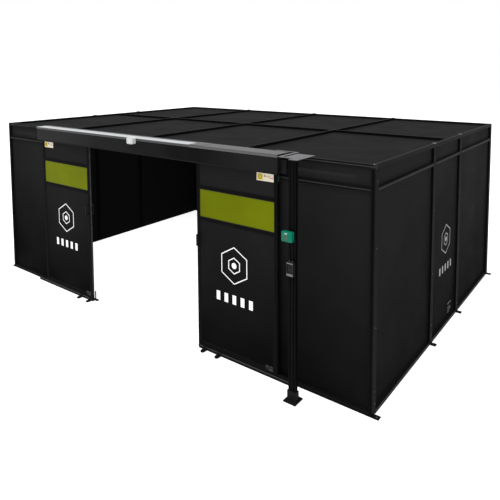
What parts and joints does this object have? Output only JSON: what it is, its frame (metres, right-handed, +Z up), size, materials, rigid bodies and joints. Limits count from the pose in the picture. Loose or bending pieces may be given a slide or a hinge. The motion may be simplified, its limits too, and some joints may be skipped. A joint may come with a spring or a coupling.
{
  "type": "laser welding safety cabin",
  "caption": "Roofed walk-in welding screen cabin of dark panels in a profile frame, with sliding doors, filter windows and a release post.",
  "frame": {"origin": "middle of the outline, on the floor", "axes": "+X along the front from the left door to the right door, +Y from the front to the back, +Z up"},
  "size_m": [6.324, 4.435, 2.345],
  "materials": {
    "panel_black": "satin black powder coat on sandwich sheet",
    "profile_black": "black anodised extrusion",
    "fitting_black": "black painted steel",
    "light_metal": "clear anodised, brushed",
    "steel": "zinc plated",
    "wheel_nylon": "white nylon wheels on a steel axle",
    "rubber": "matt black",
    "filter_window": "yellow-green laser filter sheet",
    "green_plastic": "moulded green",
    "pale_plastic": "moulded white",
    "grey_plastic": "moulded grey",
    "dark_plastic": "moulded black",
    "notice_plate": "printed plate without lettering"
  },
  "bodies": {
    "root": {"corner_posts": "profile_black", "wall_posts": "profile_black", "jamb_posts": "profile_black", "bottom_rails": "profile_black", "middle_rails": "profile_black", "top_rails": "profile_black", "lower_wall_panels": "panel_black", "upper_wall_panels": "panel_black", "roof_beams": "profile_black", "roof_purlins": "profile_black", "roof_panels": "panel_black", "corner_connectors": "fitting_black", "frame_screws": "steel", "post_top_caps": "light_metal", "floor_brackets": "fitting_black", "track_channel": "steel", "track_brackets": "fitting_black", "header_fascia": "panel_black", "header_cover": "light_metal", "cover_joint_strap": "light_metal", "header_end_plates": "fitting_black", "track_stops": "rubber", "floor_guide_rails": "profile_black", "guide_rail_feet": "fitting_black", "indicator_housing": "pale_plastic", "junction_box": "fitting_black", "junction_box_lid": "dark_plastic", "service_post": "profile_black", "post_base_socket": "fitting_black", "post_foot_plate": "fitting_black", "post_top_plate": "light_metal", "release_box_base": "green_plastic", "release_box_cover": "green_plastic", "switch_box_housing": "dark_plastic", "switch_box_frame": "grey_plastic", "cable_glands": "dark_plastic", "box_mounting_plates": "steel"},
    "left_door": {"left_door_frame": "profile_black", "left_door_panels": "panel_black", "left_door_window": "filter_window", "left_window_gasket": "rubber", "left_door_handles": "fitting_black", "left_door_hangers": "steel", "left_door_plates": "notice_plate", "left_edge_seal": "rubber"},
    "right_door": {"right_door_frame": "profile_black", "right_door_panels": "panel_black", "right_door_window": "filter_window", "right_window_gasket": "rubber", "right_door_handles": "fitting_black", "right_door_hangers": "steel", "right_door_plates": "notice_plate", "right_edge_seal": "rubber", "door_position_sensor": "dark_plastic"},
    "left_wheels_a": {"left_wheelset_a": "wheel_nylon"},
    "left_wheels_b": {"left_wheelset_b": "wheel_nylon"},
    "right_wheels_a": {"right_wheelset_a": "wheel_nylon"},
    "right_wheels_b": {"right_wheelset_b": "wheel_nylon"},
    "release_push": {"release_button": "pale_plastic"},
    "key_barrel": {"key_switch": "steel"}
  },
  "joints": [
    {"name": "left_door_slide", "type": "slide", "parent": "root", "child": "left_door", "axis": [1, 0, 0], "range_m": [0, 0.984]},
    {"name": "right_door_slide", "type": "slide", "parent": "root", "child": "right_door", "axis": [-1, 0, 0], "range_m": [0, 0.984]},
    {"name": "left_wheels_a_roll", "type": "hinge", "parent": "left_door", "child": "left_wheels_a", "pos_m": [-2.015, -1.9645, 2.2243], "axis": [0, 1, 0], "range_deg": [0, 2825]},
    {"name": "left_wheels_b_roll", "type": "hinge", "parent": "left_door", "child": "left_wheels_b", "pos_m": [-1.055, -1.9645, 2.2243], "axis": [0, 1, 0], "range_deg": [0, 2825]},
    {"name": "right_wheels_a_roll", "type": "hinge", "parent": "right_door", "child": "right_wheels_a", "pos_m": [2.015, -1.9645, 2.2243], "axis": [0, -1, 0], "range_deg": [0, 2825]},
    {"name": "right_wheels_b_roll", "type": "hinge", "parent": "right_door", "child": "right_wheels_b", "pos_m": [1.055, -1.9645, 2.2243], "axis": [0, -1, 0], "range_deg": [0, 2825]},
    {"name": "release_press", "type": "slide", "parent": "root", "child": "release_push", "axis": [0, 1, 0], "range_m": [0, 0.003], "stiffness_N_per_m": 700},
    {"name": "key_turn", "type": "hinge", "parent": "root", "child": "key_barrel", "pos_m": [2.374, -2.181, 1.307], "axis": [0, -1, 0], "range_deg": [0, 90]}
  ],
  "couplings": [
    {"joint": "left_wheels_a_roll", "follows": "left_door_slide", "rad_per_m": 50},
    {"joint": "left_wheels_b_roll", "follows": "left_door_slide", "rad_per_m": 50},
    {"joint": "right_wheels_a_roll", "follows": "right_door_slide", "rad_per_m": 50},
    {"joint": "right_wheels_b_roll", "follows": "right_door_slide", "rad_per_m": 50}
  ]
}
